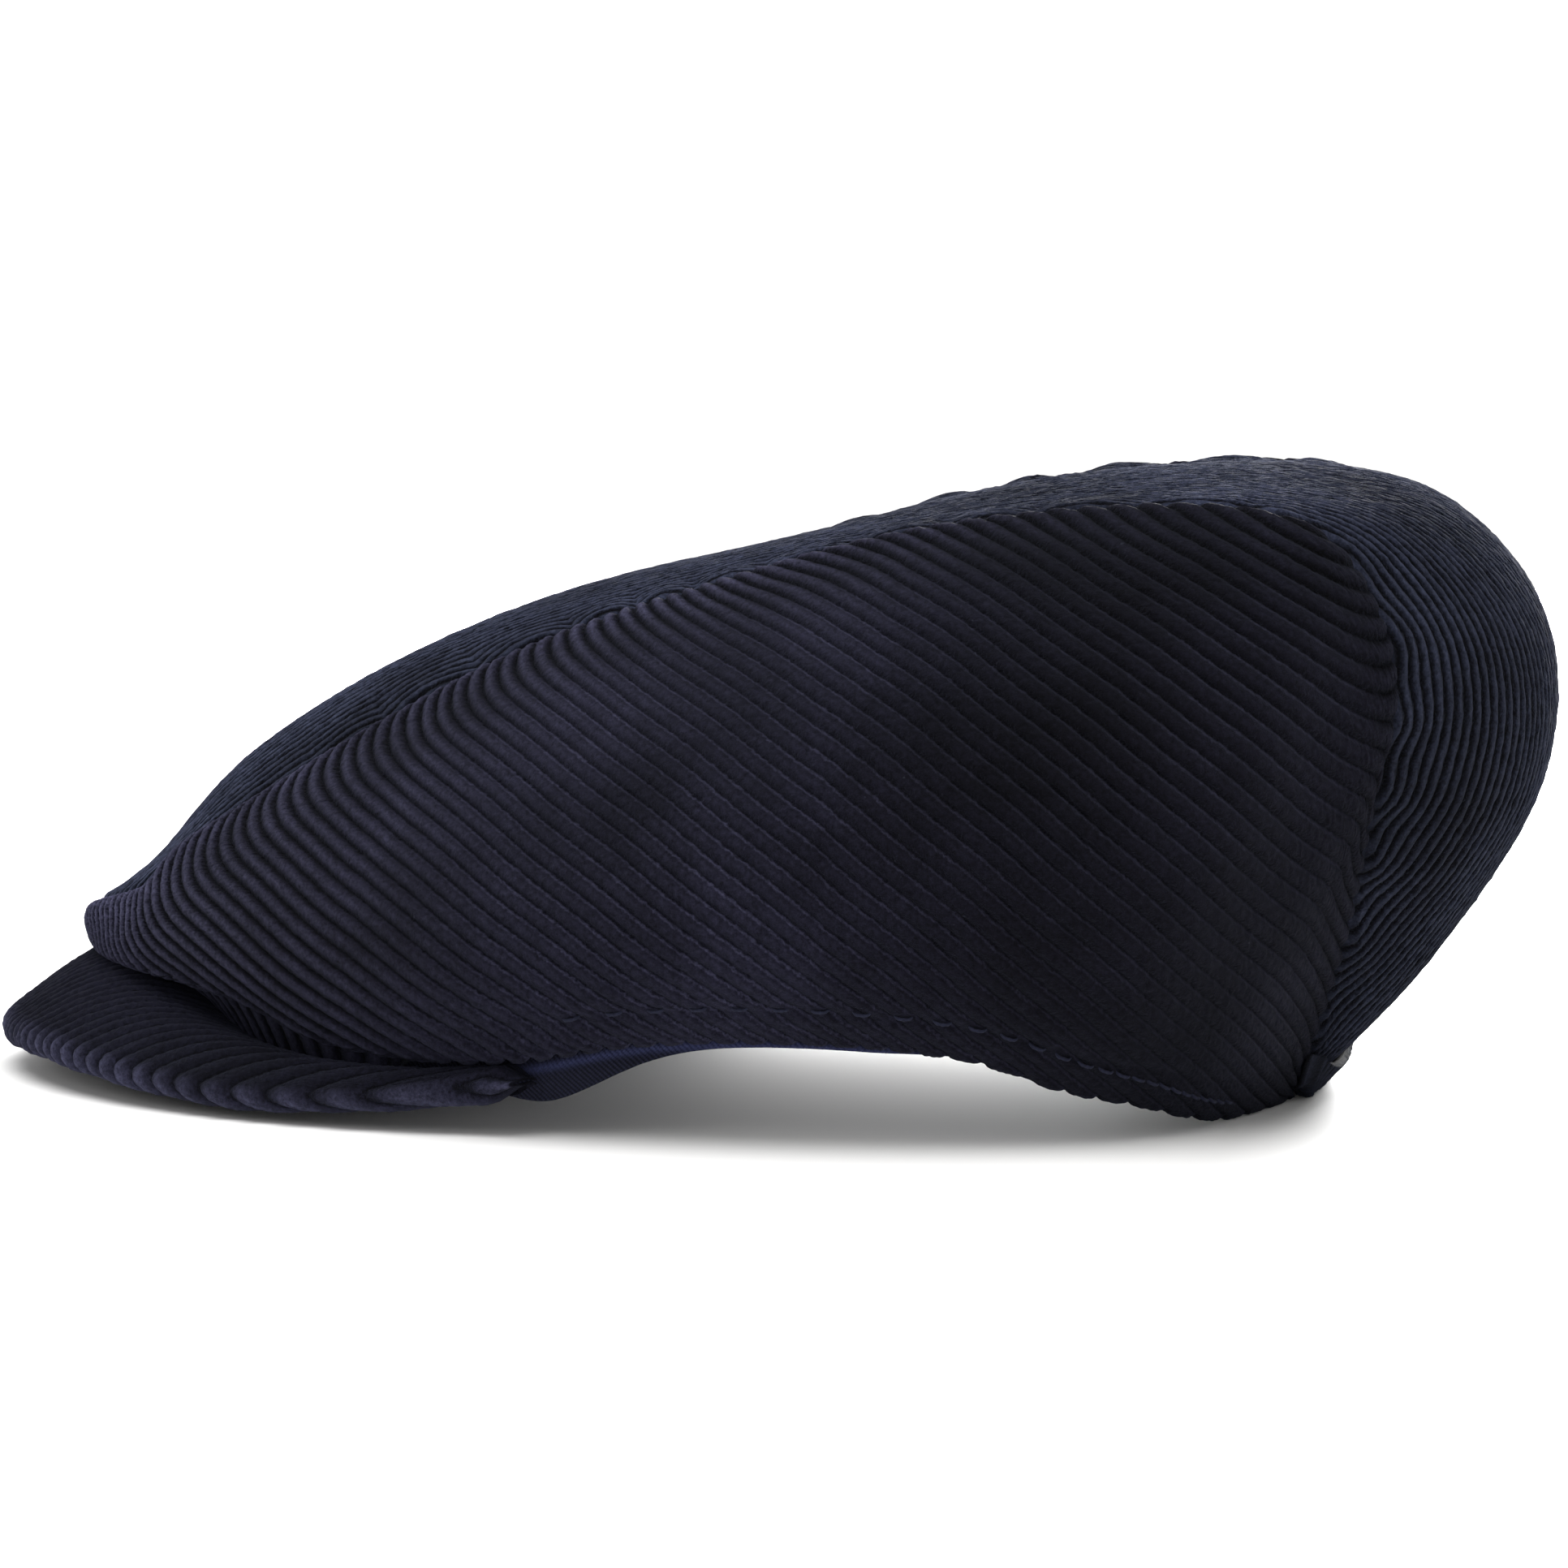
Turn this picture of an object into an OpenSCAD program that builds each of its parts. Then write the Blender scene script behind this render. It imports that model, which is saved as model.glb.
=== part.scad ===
// Three-panel corduroy flat cap. Front and visor towards -Y, wearer's left towards +X, floor at Z = 0.

/* [Overall size] */
// length from visor tip to the rear of the crown, mm
cap_length = 286; // [265:1:305]
// widest width across the crown, mm
cap_width = 204; // [190:1:220]
// height of the crown above the floor, mm
cap_height = 110.6; // [100:0.2:122]

/* [Cloth] */
// thickness of the corduroy, mm
cord_t = 1.6; // [1.2:0.1:2.2]
// thickness of the interlining, mm
inter_t = 0.9; // [0.6:0.1:1.4]
// thickness of the satin lining, mm
lining_t = 0.5; // [0.3:0.1:0.8]
// air gap between cloth layers, mm
layer_gap = 0.25; // [0.15:0.05:0.5]
// half gap left for the thread at each seam, mm
seam_gap = 0.9; // [0.6:0.1:1.4]

/* [Visor] */
// thickness of the visor board, mm
board_t = 2.0; // [1.4:0.1:3]
// fraction of the visor depth that the crown covers at the front centre
visor_hidden = 0.55; // [0.4:0.01:0.7]
// how far the visor bows up between its inner and outer edge at the front centre, mm
visor_arch = 6; // [2:0.2:8]
// how far the cloth edge roll stands out past the board, mm
edge_roll = 2.6; // [1.8:0.1:3.4]

/* [Sweatband] */
// height of the sweatband at the sides and rear, mm
band_h = 28; // [22:1:34]
// height of the sweatband at the front centre, mm
band_front_h = 18; // [14:1:22]
// thickness of the sweatband tape, mm
band_t = 1.2; // [0.8:0.1:1.6]
// distance from the hem edge in to the outer face of the band, mm
band_inset = 4.6; // [4:0.1:6]

/* [Labels] */
// width of the blank woven label, mm
label_w = 52; // [40:1:60]
// height of the blank woven label, mm
label_h = 24; // [18:1:30]

/* [Stitching] */
// thread diameter, mm
thread_d = 0.7; // [0.5:0.05:1]
// length of one stitch, mm
stitch_l = 3.2; // [2.4:0.1:4]
// number of stitches on each side of the hem
hem_stitch_n = 26; // [16:1:36]
// number of tack stitches between crown and visor on each side
tack_n = 5; // [3:1:7]

/* [Mesh] */
// rows along the crown
rows = 40; // [24:2:48]
// columns down a side panel
cols = 13; // [8:1:18]

/* [Hidden] */
kx = cap_width / 204;
ky = cap_length / 286;
kz = cap_height / 110.6;
// puts the middle of the cap's length at Y = 0
mid_y = 1.85;
// distance of the visor cloth's inner and outer face from the board's middle
cover_in = board_t / 2 + 0.1;
cover_out = cover_in + cord_t;
// height of the visor's outer and inner edge, front centre to corner
visor_out_z = [6.6, 7.2, 7.8, 6.2, 4.6, 6.2, 10.6];
visor_in_z = [21, 17.5, 10.5, 7.2, 6.4, 7.2, 10];
// seam between centre and side panel, front centre to rear hem
seam_line = [[0, -130, 29], [18, -123, 32], [32, -109, 36.4], [35, -102, 44.3], [38, -88, 53.2],
    [41, -61.5, 69.5], [44, -33, 83.9], [47, -1, 95], [50, 31, 103.9], [52, 64, 109], [53, 92, 109.7],
    [55, 108, 102.9], [58, 117.7, 83.3], [55, 114.5, 60], [40, 108.3, 34.1], [18.5, 97.5, 3.8]];
// lower edge of a side panel: the lip over the visor in front, then the head opening
hem_line = [[0, -130.5, 22.6], [18, -125, 21.9], [34, -114.5, 21.2], [48, -100, 20.3], [60, -86, 18.5],
    [72, -67, 13.4], [82, -40, 12.6], [86.5, -8, 17], [87, 22, 18], [83.5, 47, 15.5], [75, 64, 9.2],
    [66, 75, 6], [57, 82, 3.2], [46, 87, 1.2], [32, 92, 0.6], [16, 95.5, 0]];
// how far a side panel bellies out between seam and hem
belly_line = [1.5, 2.5, 5, 8, 13, 19, 27, 33, 36, 36, 31, 21, 11, 4.5, 2, 0.4];
// angle on the visor that each station of the lip is tucked back to
tuck_line = [0.5, 12, 23, 33, 44, 58, 76];
// middle line of the centre panel, from its front edge to the rear hem
ridge_line = [[0, -130, 29], [0, -118, 37.4], [0, -100, 56.7], [0, -72, 75.4], [0, -43, 87.6],
    [0, -4, 97.6], [0, 31, 106], [0, 65, 111.2], [0, 95, 111.2], [0, 122, 104.6], [0, 139.2, 84],
    [0, 138.6, 55.5], [0, 119.5, 25.6], [0, 95.5, 0.4]];
first = 2;
last = len(seam_line) - 1;
// head opening, rear centre round one side to front centre
opening_line = [[0, 95.5, 0.4], [16, 95.2, 0.3], [32, 91.5, 0.6], [46, 86.5, 1.2], [57, 81.5, 3.2],
    [66, 74.5, 6], [75, 63.5, 9.2], [83.5, 46.5, 15.5], [87, 22, 18], [86.5, -8, 17], [83.5, -30, 12.5],
    [78, -50, 9.5], [68, -69, 9], [55, -84, 10], [38, -95, 13.5], [20, -101.5, 18.5], [0, -104, 21]];

function v_at(p, u) = let (n = len(p) - 1, q = min(max(u, 0), 1) * n, i = min(floor(q), n - 1), f = q - i,
    a = p[max(i - 1, 0)], b = p[i], c = p[i + 1], d = p[min(i + 2, n)])
    0.5 * (2 * b + (c - a) * f + (2 * a - 5 * b + 4 * c - d) * f * f + (3 * b - a - 3 * c + d) * f * f * f);
function size3(p) = [p.x * kx, (p.y + mid_y) * ky, p.z * kz];
function unit(v) = v / max(norm(v), 1e-6);
function bez(a, b, c, d, t) = a * pow(1 - t, 3) + b * 3 * t * pow(1 - t, 2) + c * 3 * t * t * (1 - t) + d * pow(t, 3);
function outward(m) = unit([m.x, m.y < -60 ? m.y + 60 : m.y > 30 ? m.y - 30 : 0, 0]);

// side panel: u front to rear, t seam to hem
function side_p(u, t) = let (s = v_at(seam_line, u), h = v_at(hem_line, u), b = v_at(belly_line, u),
    e = outward((s + h) / 2))
    size3(bez(s, s + b * [1.05 * e.x, 1.05 * e.y, -0.22], h + b * [0.95 * e.x, 0.95 * e.y, 0.75], h, t));
// centre panel: u front to rear, t from one seam (0) over the ridge to the other (1)
function centre_half(u, t) = let (w = first / last + u * (1 - first / last), s = v_at(seam_line, w),
    c = v_at(ridge_line, u))
    bez(s, s + [-0.2 * s.x, 0.45 * (c.y - s.y), 0.45 * (c.z - s.z)], c + [0.5 * s.x, 0, 0], c, t);
function centre_p(u, t) = let (p = centre_half(u, t < 0.5 ? 2 * t : 2 - 2 * t)) size3(t < 0.5 ? p : [-p.x, p.y, p.z]);
// visor mid surface: a is the angle from front centre to a corner, v inner edge (0) to outer edge (1)
function visor_p(a, v) = let (f = abs(a) / 90, zi = v_at(visor_in_z, f), zo = v_at(visor_out_z, f),
    x = (83 + 2 * v) * sin(a), y = -25 - (79 + 40 * v) * cos(a))
    size3([x, y, zi + (zo - zi) * v + visor_arch * cos(a) * sin(180 * v)]);
function visor_n(a, v) = unit(cross(visor_p(a, v + 0.02) - visor_p(a, v - 0.02), visor_p(a + 1, v) - visor_p(a - 1, v)));
function ring_p(w) = let (f = w < 0.5 ? 2 * w : 2 - 2 * w, p = v_at(opening_line, f))
    size3([w < 0.5 ? p.x : -p.x, p.y, p.z]);
function ring_n(w) = let (d = ring_p(w + 0.004) - ring_p(w - 0.004)) unit([-d.y, d.x, 0]);

function side_n(u, t) = let (du = side_p(min(u + 0.004, 1), t) - side_p(max(u - 0.004, 0), t),
    dt = side_p(u, min(t + 0.01, 1)) - side_p(u, max(t - 0.01, 0))) unit(cross(dt, du));
function centre_n(u, t) = let (du = centre_p(min(u + 0.004, 1), t) - centre_p(max(u - 0.004, 0), t),
    dt = centre_p(u, min(t + 0.01, 1)) - centre_p(u, max(t - 0.01, 0))) unit(cross(du, dt));
function side_at(u, t, d) = side_p(u, t) - d * side_n(u, t);
// hidden tuck: from the lip back to the visor's inner edge
function tuck_p(u, t) = let (k = v_at(tuck_line, u * last / 6), a = side_at(u, 0.97, cord_t + 1),
    b = vis(k, 0.07, cover_out + 0.3)) a * (1 - t) + b * t;
function centre_at(u, t, d) = centre_p(u, t) - d * centre_n(u, t);

function steps(a, b, n) = [for (i = [0:n]) a + (b - a) * i / n];

// closed slab between two grids of the same shape
module slab(a, b) {
    m = len(a); n = len(a[0]); k = m * n;
    points = [for (r = a) each r, for (r = b) each r];
    faces = [
        for (i = [0:m - 2], j = [0:n - 2]) let (p = i * n + j) each [[p, p + 1, p + n + 1], [p, p + n + 1, p + n]],
        for (i = [0:m - 2], j = [0:n - 2]) let (p = k + i * n + j) each [[p, p + n + 1, p + 1], [p, p + n, p + n + 1]],
        for (j = [0:n - 2]) let (p = j, q = (m - 1) * n + j)
            each [[p, k + p, k + p + 1], [p, k + p + 1, p + 1], [q, q + 1, k + q + 1], [q, k + q + 1, k + q]],
        for (i = [0:m - 2]) let (p = i * n, q = i * n + n - 1)
            each [[p, p + n, k + p + n], [p, k + p + n, k + p], [q, k + q, k + q + n], [q, k + q + n, q + n]]
    ];
    polyhedron(points, faces, 4);
}
// closed band between two closed rings of points
module loop_slab(a, b) {
    m = len(a); n = len(a[0]); k = m * n;
    points = [for (r = a) each r, for (r = b) each r];
    faces = [
        for (i = [0:m - 1], j = [0:n - 2]) let (p = i * n + j, q = ((i + 1) % m) * n + j)
            each [[p, p + 1, q + 1], [p, q + 1, q], [k + p, k + q + 1, k + p + 1], [k + p, k + q, k + q + 1]],
        for (i = [0:m - 1]) let (p = i * n, q = ((i + 1) % m) * n)
            each [[p, q, k + q], [p, k + q, k + p], [p + n - 1, k + p + n - 1, k + q + n - 1], [p + n - 1, k + q + n - 1, q + n - 1]]
    ];
    polyhedron(points, faces, 4);
}
module side_layer(u0, u1, t0, t1, d0, d1, m, n) {
    us = steps(u0, u1, m);
    // near the ends the panel is narrow, so the seam gap is a share of its depth
    function lo(u) = t0 / max(norm(side_p(u, 1) - side_p(u, 0)), 4);
    function hi(u) = 1 - t1 / max(norm(side_p(u, 1) - side_p(u, 0)), 4);
    slab([for (u = us) [for (t = steps(lo(u), hi(u), n)) side_at(u, t, d0)]],
        [for (u = us) [for (t = steps(lo(u), hi(u), n)) side_at(u, t, d1)]]);
}
module centre_layer(u0, u1, edge, d0, d1, m, n) {
    us = steps(u0, u1, m);
    function lo(u) = edge / (2.2 * v_at(seam_line, first / last + u * (1 - first / last)).x);
    slab([for (u = us) [for (t = steps(lo(u), 1 - lo(u), n)) centre_at(u, t, d0)]],
        [for (u = us) [for (t = steps(lo(u), 1 - lo(u), n)) centre_at(u, t, d1)]]);
}
d_inter = cord_t + layer_gap;
d_lining = d_inter + inter_t + layer_gap;
d_label = d_lining + lining_t + layer_gap;

module centre_panel() { color([0.14, 0.16, 0.25]) centre_layer(0.004, 1, seam_gap, 0, cord_t, rows, 2 * cols); }
module tuck() { us = steps(0.004, 6 / last, 16);
    slab([for (u = us) [for (t = steps(0, 1, 3)) tuck_p(u, t)]],
        [for (u = us) [for (t = steps(0, 1, 3)) tuck_p(u, t) + [0, 0, cord_t]]]); }
module side_panel() { side_layer(0.004, 1, seam_gap, 0, 0, cord_t, rows, cols); tuck(); }
module left_side_panel() { color([0.12, 0.13, 0.21]) side_panel(); }
module right_side_panel() { color([0.12, 0.13, 0.21]) mirror([1, 0, 0]) side_panel(); }
module interlining_centre() { color([0.75, 0.75, 0.72]) centre_layer(0.06, 0.94, 4.5, d_inter, d_inter + inter_t, 20, 10); }
module interlining_left() { color([0.75, 0.75, 0.72]) side_layer(0.24, 0.9, 4.5, 12, d_inter, d_inter + inter_t, 18, 7); }
module interlining_right() { color([0.75, 0.75, 0.72]) mirror([1, 0, 0]) side_layer(0.24, 0.9, 4.5, 12, d_inter, d_inter + inter_t, 18, 7); }
module lining_centre() { color([0.1, 0.11, 0.18]) centre_layer(0.07, 0.95, 6, d_lining, d_lining + lining_t, 20, 10); }
module lining_left() { color([0.1, 0.11, 0.18]) side_layer(0.25, 0.89, 6, 6, d_lining, d_lining + lining_t, 18, 7); }
module lining_right() { color([0.1, 0.11, 0.18]) mirror([1, 0, 0]) side_layer(0.25, 0.89, 6, 6, d_lining, d_lining + lining_t, 18, 7); }

// visor: a board between two cloth covers, the upper one rolled round the outer edge
v_angles = steps(-88, 88, 32);
function vis(a, v, d) = visor_p(a, v) + d * visor_n(a, v);
function roll_row(a, d, r) = [for (v = steps(0.02, 0.94, 4)) vis(a, v, d),
    for (g = steps(20, 180, 4)) let (n = visor_n(a, 0.94), o = unit(visor_p(a, 0.94) - visor_p(a, 0.9)))
        visor_p(a, 0.94) + (d * cos(g)) * n + (r * sin(g)) * o];
module visor_board() { color([0.2, 0.2, 0.22])
    slab([for (a = v_angles) [for (v = steps(0.03, 0.93, 4)) vis(a, v, board_t / 2)]],
        [for (a = v_angles) [for (v = steps(0.03, 0.93, 4)) vis(a, v, -board_t / 2)]]); }
module visor_top_cover() { color([0.12, 0.13, 0.21])
    slab([for (a = v_angles) roll_row(a, cover_out, edge_roll + cord_t)],
        [for (a = v_angles) roll_row(a, cover_in, edge_roll)]); }
module visor_under_cover() { color([0.12, 0.13, 0.21])
    slab([for (a = v_angles) [for (v = steps(0.03, 0.9, 4)) vis(a, v, -cover_in)]],
        [for (a = v_angles) [for (v = steps(0.03, 0.9, 4)) vis(a, v, -cover_out)]]); }

// sweatband: a tape ring just inside the head opening
ring_w = [for (i = [0:59]) i / 60];
function band_height(w) = band_front_h + (band_h - band_front_h) * (0.5 + 0.5 * cos(360 * w));
function ring_at(w, inset, z) = ring_p(w) - inset * ring_n(w) + [0, 0, z];
function band_row(w, inset) = [for (z = steps(0.6, band_height(w), 2)) ring_at(w, inset, z)];
module sweatband() { color([0.13, 0.15, 0.27])
    loop_slab([for (w = ring_w) band_row(w, band_inset)], [for (w = ring_w) band_row(w, band_inset + band_t)]); }
// short overlap of tape that closes the band at the rear
module sweatband_join() { color([0.13, 0.15, 0.27]) let (ws = [for (i = [-4:4]) (i + 0.001) / 300])
    slab([for (w = ws) [for (z = steps(2, band_h - 1.5, 1)) ring_at(w < 0 ? 1 + w : w, band_inset + band_t + 0.1, z)]],
        [for (w = ws) [for (z = steps(2, band_h - 1.5, 1)) ring_at(w < 0 ? 1 + w : w, band_inset + 2 * band_t + 0.1, z)]]); }

// blank woven label on the crown lining, and two small blank tags sewn in at the band
module woven_label() { color([0.5, 0.52, 0.58]) let (du = label_h / 2 / 290, dt = label_w / 2 / 190)
    slab([for (u = steps(0.56 - du, 0.56 + du, 4)) [for (t = steps(0.5 - dt, 0.5 + dt, 6)) centre_at(u, t, d_label)]],
        [for (u = steps(0.56 - du, 0.56 + du, 4)) [for (t = steps(0.5 - dt, 0.5 + dt, 6)) centre_at(u, t, d_label + 0.6)]]); }
module tag_at(w, wide, tall, drop) { translate(ring_at(w, band_inset + band_t + 0.15, drop))
    rotate([0, 0, atan2(ring_n(w).y, ring_n(w).x) + 90]) translate([-wide / 2, 0, 0])
    cube([wide, 0.6, tall]); }
module size_tag() { color([0.85, 0.85, 0.83]) tag_at(0.055, 12, 15, 6); }
module care_label() { color([0.88, 0.88, 0.86]) tag_at(0.255, 22, 34, 6); }

// threads
module stitch(p, q) { translate((p + q) / 2) let (v = unit(q - p))
    rotate([0, acos(v.z), atan2(v.y, v.x)]) cylinder(h = stitch_l, d = thread_d, center = true, $fn = 8); }
// running stitch that holds the turned hem, a little above the lower edge
module hem_stitches() { color([0.45, 0.55, 0.75]) for (s = [-1, 1]) scale([s, 1, 1])
    for (u = steps(0.44, 0.86, hem_stitch_n)) let (l = norm(side_p(u, 1) - side_p(u, 0)), t = 1 - 8 / l)
        stitch(side_at(u, t, -thread_d / 2 - 0.05), side_at(u + 0.004, t, -thread_d / 2 - 0.05)); }
// tacks that hold the crown front down on the visor
module visor_tacks() { color([0.12, 0.13, 0.2]) for (s = [-1, 1]) scale([s, 1, 1])
    for (i = [0:tack_n - 1]) let (u = 0.025 + 0.2 * i / tack_n, up = [0, 0, cord_t + thread_d / 2 + 0.35])
        stitch(tuck_p(u, 0.6) + up, tuck_p(u + 0.01, 0.6) + up); }
// stitches that hold the band to the hem
module band_stitches() { color([0.2, 0.22, 0.35]) for (w = steps(0.1, 0.9, 40))
    stitch(ring_at(w, band_inset + band_t + thread_d / 2 + 0.05, 2.4), ring_at(w + 0.004, band_inset + band_t + thread_d / 2 + 0.05, 2.4)); }
// stitches round the visor just inside its rolled edge, on the underside
module visor_edge_stitches() { color([0.12, 0.13, 0.2]) for (a = steps(-66, 66, 30))
    stitch(vis(a, 0.84, -cover_out - thread_d / 2 - 0.05), vis(a + 1, 0.84, -cover_out - thread_d / 2 - 0.05)); }

centre_panel();
left_side_panel();
right_side_panel();
visor_top_cover();
visor_under_cover();
visor_board();
sweatband();
sweatband_join();
interlining_centre();
interlining_left();
interlining_right();
lining_centre();
lining_left();
lining_right();
woven_label();
size_tag();
care_label();
hem_stitches();
visor_tacks();
band_stitches();
visor_edge_stitches();
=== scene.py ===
import math

import bpy
import numpy as np
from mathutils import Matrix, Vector


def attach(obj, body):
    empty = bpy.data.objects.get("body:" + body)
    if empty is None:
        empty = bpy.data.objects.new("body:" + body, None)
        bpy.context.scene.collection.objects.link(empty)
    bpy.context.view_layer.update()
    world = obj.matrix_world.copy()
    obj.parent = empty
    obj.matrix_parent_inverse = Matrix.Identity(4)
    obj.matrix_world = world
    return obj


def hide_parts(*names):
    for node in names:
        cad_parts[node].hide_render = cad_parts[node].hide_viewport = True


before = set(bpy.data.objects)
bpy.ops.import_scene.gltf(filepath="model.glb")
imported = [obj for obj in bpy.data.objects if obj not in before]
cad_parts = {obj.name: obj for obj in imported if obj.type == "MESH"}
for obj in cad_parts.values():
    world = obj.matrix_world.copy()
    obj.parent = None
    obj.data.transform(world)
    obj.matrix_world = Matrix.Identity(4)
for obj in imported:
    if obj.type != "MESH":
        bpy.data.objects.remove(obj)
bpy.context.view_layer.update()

# ---------------------------------------------------------------- sizes, mm
MID_Y = 1.85
CORD_T, INTER_T, LINING_T, GAP = 1.6, 0.9, 0.5, 0.25
BOARD_T, VISOR_ARCH, EDGE_ROLL = 2.0, 6.0, 2.6
COVER_IN = BOARD_T / 2 + 0.1
COVER_OUT = COVER_IN + CORD_T
BAND_H, BAND_FRONT, BAND_T, BAND_INSET = 28.0, 18.0, 1.2, 4.6
D_INTER = CORD_T + GAP
D_LINING = D_INTER + INTER_T + GAP
D_LABEL = D_LINING + LINING_T + GAP
PITCH, PITCH_CENTRE, PITCH_VISOR = 3.2, 2.65, 2.75
BACKING = 1.15                  # cloth behind the foot of the pile
SEAM_DEPTH = 2.1                # how far the panels dip where they are sewn together
STITCH_R = 0.33

VISOR_OUT_Z = [6.6, 7.2, 7.8, 6.2, 4.6, 6.2, 10.6]
VISOR_IN_Z = [21, 17.5, 10.5, 7.2, 6.4, 7.2, 10]
SEAM = [[0, -130, 29], [18, -123, 32], [32, -109, 36.4], [35, -102, 44.3], [38, -88, 53.2],
        [41, -61.5, 69.5], [44, -33, 83.9], [47, -1, 95], [50, 31, 103.9], [52, 64, 109], [53, 92, 109.7],
        [55, 108, 102.9], [58, 117.7, 83.3], [55, 114.5, 60], [40, 108.3, 34.1], [18.5, 97.5, 3.8]]
HEM = [[0, -130.5, 22.6], [18, -125, 21.9], [34, -114.5, 21.2], [48, -100, 20.3], [60, -86, 18.5],
       [72, -67, 13.4], [82, -40, 12.6], [86.5, -8, 17], [87, 22, 18], [83.5, 47, 15.5], [75, 64, 9.2],
       [66, 75, 6], [57, 82, 3.2], [46, 87, 1.2], [32, 92, 0.6], [16, 95.5, 0]]
BELLY = [1.5, 2.5, 5, 8, 13, 19, 27, 33, 36, 36, 31, 21, 11, 4.5, 2, 0.4]
TUCK = [0.5, 12, 23, 33, 44, 58, 76]
RIDGE = [[0, -130, 29], [0, -118, 37.4], [0, -100, 56.7], [0, -72, 75.4], [0, -43, 87.6],
         [0, -4, 97.6], [0, 31, 106], [0, 65, 111.2], [0, 95, 111.2], [0, 122, 104.6], [0, 139.2, 84],
         [0, 138.6, 55.5], [0, 119.5, 25.6], [0, 95.5, 0.4]]
OPENING = [[0, 95.5, 0.4], [16, 95.2, 0.3], [32, 91.5, 0.6], [46, 86.5, 1.2], [57, 81.5, 3.2],
           [66, 74.5, 6], [75, 63.5, 9.2], [83.5, 46.5, 15.5], [87, 22, 18], [86.5, -8, 17], [83.5, -30, 12.5],
           [78, -50, 9.5], [68, -69, 9], [55, -84, 10], [38, -95, 13.5], [20, -101.5, 18.5], [0, -104, 21]]
FIRST, LAST = 2, 15


# ---------------------------------------------------------------- small maths
def v_at(table, u):
    p = np.asarray(table, float)
    flat = p.ndim == 1
    if flat:
        p = p[:, None]
    n = len(p) - 1
    q = np.clip(np.asarray(u, float), 0, 1) * n
    i = np.minimum(q.astype(int), n - 1)
    f = (q - i)[..., None]
    a, b, c, d = p[np.maximum(i - 1, 0)], p[i], p[i + 1], p[np.minimum(i + 2, n)]
    r = 0.5 * (2 * b + (c - a) * f + (2 * a - 5 * b + 4 * c - d) * f ** 2 + (3 * b - a - 3 * c + d) * f ** 3)
    return r[..., 0] if flat else r


def unit(v):
    return v / np.maximum(np.linalg.norm(v, axis=-1, keepdims=True), 1e-9)


def ease(x, a, b):
    s = np.clip((x - a) / (b - a), 0, 1)
    return s * s * (3 - 2 * s)


def bezier(a, b, c, d, t):
    t = t[..., None]
    return a * (1 - t) ** 3 + b * 3 * t * (1 - t) ** 2 + c * 3 * t * t * (1 - t) + d * t ** 3


def place(p):
    return p + np.array([0, MID_Y, 0])


def side_p(u, t):
    s, h, b = v_at(SEAM, u), v_at(HEM, u), v_at(BELLY, u)[..., None]
    m = (s + h) / 2
    y = m[..., 1]
    ey = np.where(y < -60, y + 60, np.where(y > 30, y - 30, 0))
    e = unit(np.stack([m[..., 0], ey, 0 * ey], -1))
    k1 = np.concatenate([1.05 * e[..., :2], -0.22 + 0 * e[..., :1]], -1)
    k2 = np.concatenate([0.95 * e[..., :2], 0.75 + 0 * e[..., :1]], -1)
    return place(bezier(s, s + b * k1, h + b * k2, h, t))


def centre_p(u, t):
    q = np.where(t < 0.5, 2 * t, 2 - 2 * t)
    w = FIRST / LAST + u * (1 - FIRST / LAST)
    s, c = v_at(SEAM, w), v_at(RIDGE, u)
    k = np.stack([-0.2 * s[..., 0], 0.45 * (c - s)[..., 1], 0.45 * (c - s)[..., 2]], -1)
    k2 = np.stack([0.5 * s[..., 0], 0 * u, 0 * u], -1)
    p = bezier(s, s + k, c + k2, c, q)
    p[..., 0] *= np.where(t < 0.5, 1, -1)
    return place(p)


def visor_p(a, v):
    f = np.abs(a) / 90
    r = np.radians(a)
    zi, zo = v_at(VISOR_IN_Z, f), v_at(VISOR_OUT_Z, f)
    x = (83 + 2 * v) * np.sin(r)
    y = -25 - (79 + 40 * v) * np.cos(r)
    return place(np.stack([x, y, zi + (zo - zi) * v + VISOR_ARCH * np.cos(r) * np.sin(np.pi * v)], -1))


def visor_n(a, v):
    return unit(np.cross(visor_p(a, v + 0.02) - visor_p(a, v - 0.02), visor_p(a + 1, v) - visor_p(a - 1, v)))


def ring_p(w):
    w = np.mod(w, 1.0)
    p = v_at(OPENING, np.where(w < 0.5, 2 * w, 2 - 2 * w))
    p[..., 0] *= np.where(w < 0.5, 1, -1)
    return place(p)


def ring_n(w):
    d = ring_p(w + 0.004) - ring_p(w - 0.004)
    return unit(np.stack([-d[..., 1], d[..., 0], 0 * d[..., 0]], -1))


def grid_normals(p, outward_du_first):
    du, dt = np.gradient(p, axis=0), np.gradient(p, axis=1)
    return unit(np.cross(du, dt) if outward_du_first else np.cross(dt, du))


def seam_n(w):
    """direction midway between the side and centre panels along their seam"""
    e, u, z = 0.003, np.clip((w * LAST - FIRST) / (LAST - FIRST), 0.004, 0.996), 0 * w
    a = unit(np.cross(centre_p(u + e, z) - centre_p(u - e, z), centre_p(u, z + 0.01) - centre_p(u, z)))
    b = unit(np.cross(side_p(w, z + 0.01) - side_p(w, z), side_p(w + e, z) - side_p(w - e, z)))
    return unit(a + b)


def even(f, a, b, n):
    """n + 1 parameter values from a to b, evenly spaced along the mean of several curves"""
    s = np.linspace(a, b, 1500)
    length = sum(np.linalg.norm(np.diff(g(s), axis=0), axis=1) for g in f)
    c = np.concatenate([[0], np.cumsum(length)])
    return np.interp(np.linspace(0, c[-1], n + 1), c, s)


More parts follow.
